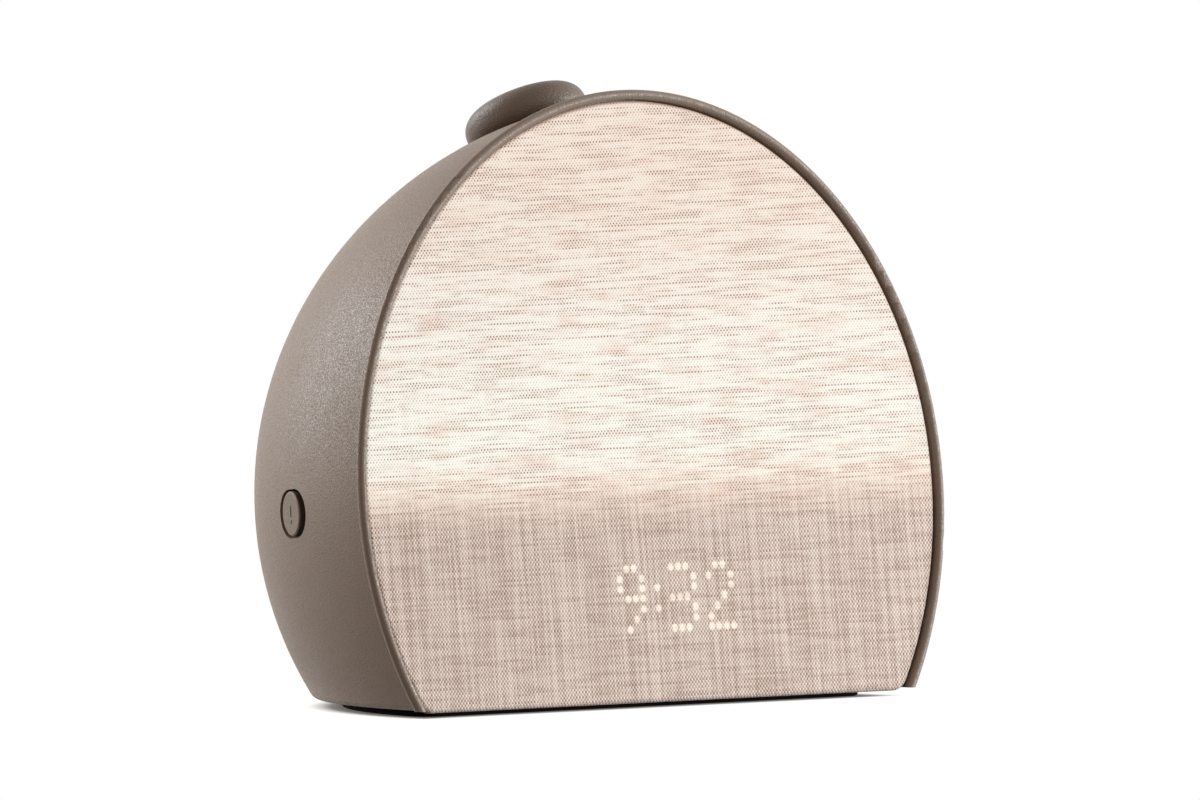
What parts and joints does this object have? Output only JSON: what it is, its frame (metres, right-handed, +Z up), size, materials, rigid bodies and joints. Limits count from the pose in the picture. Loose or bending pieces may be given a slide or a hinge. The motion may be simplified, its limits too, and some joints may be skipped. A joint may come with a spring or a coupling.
{
  "type": "sunrise alarm clock",
  "caption": "Bedside dome clock with a linen front, sunrise light behind its upper half, dot display, top button and two side toggles.",
  "frame": {"origin": "middle of the foot pad's underside outline, on the surface it stands on, 40 mm behind the middle of the face circle", "axes": "+Z up, +Y to the back, +X to the right seen from the front; the linen face looks to -Y and leans back 6 degrees"},
  "size_m": [0.2, 0.1031, 0.1544],
  "materials": {
    "shell": "fine-textured moulded plastic, taupe",
    "linen": "plain-weave linen with slubs",
    "foot": "soft black rubber",
    "base": "black moulded plastic",
    "frame": "pale moulded plastic",
    "opal": "opal acrylic",
    "tray": "white reflector plastic",
    "mask": "black mask",
    "board": "glass-fibre circuit board",
    "led": "LED package",
    "chip": "moulded chip package",
    "can": "tinned steel",
    "capacitor": "sleeved aluminium can",
    "socket": "nylon socket",
    "switch": "switch body",
    "plunger": "switch plunger",
    "screw": "zinc-plated steel",
    "spring_steel": "spring steel",
    "foam": "closed-cell foam",
    "basket": "black painted steel",
    "surround": "butyl rubber",
    "cone": "pressed paper pulp",
    "magnet": "ferrite magnet",
    "inlet": "stainless steel shell",
    "contacts": "black contact carrier"
  },
  "bodies": {
    "housing": {"dome_shell": "shell", "base_plate": "base", "base_screws": "screw", "foot_pad": "foot", "fabric_cover": "linen", "front_frame": "frame", "frame_screws": "screw", "light_diffuser": "opal", "light_tray": "tray", "light_board": "board", "light_leds": "led", "display_mask": "mask", "display_board": "board", "display_leds": "led", "display_screws": "screw", "button_spring": "spring_steel", "button_switch": "switch", "button_board": "board", "button_screws": "screw", "left_toggle_guide": "frame", "left_guide_screws": "screw", "left_switch": "switch", "left_switch_board": "board", "right_toggle_guide": "frame", "right_guide_screws": "screw", "right_switch": "switch", "right_switch_board": "board", "rear_panel": "shell", "rear_screws": "screw", "speaker_gasket": "foam", "speaker_basket": "basket", "speaker_surround": "surround", "speaker_cone": "cone", "speaker_magnet": "magnet", "speaker_screws": "screw", "inlet_socket": "inlet", "inlet_contacts": "contacts", "inlet_board": "board", "inlet_screws": "screw", "main_board": "board", "board_screws": "screw", "board_chips": "chip", "wireless_module": "can", "board_capacitors": "capacitor", "board_sockets": "socket"},
    "top_button": {"top_button": "shell", "button_clip": "spring_steel", "button_plunger": "plunger"},
    "left_toggle": {"left_toggle": "shell"},
    "right_toggle": {"right_toggle": "shell"}
  },
  "joints": [
    {"name": "top_button_press", "type": "slide", "parent": "housing", "child": "top_button", "axis": [0, -0.4724, -0.8814], "range_m": [0, 0.0014], "stiffness_N_per_m": 1200, "springref_m": -0.0005, "deforming": ["button_spring"]},
    {"name": "left_toggle_slide", "type": "slide", "parent": "housing", "child": "left_toggle", "axis": [-0.375, -0.9219, 0.0969], "range_m": [-0.0017, 0.0017], "stiffness_N_per_m": 400},
    {"name": "right_toggle_slide", "type": "slide", "parent": "housing", "child": "right_toggle", "axis": [0.375, -0.9219, 0.0969], "range_m": [-0.0017, 0.0017], "stiffness_N_per_m": 400}
  ]
}
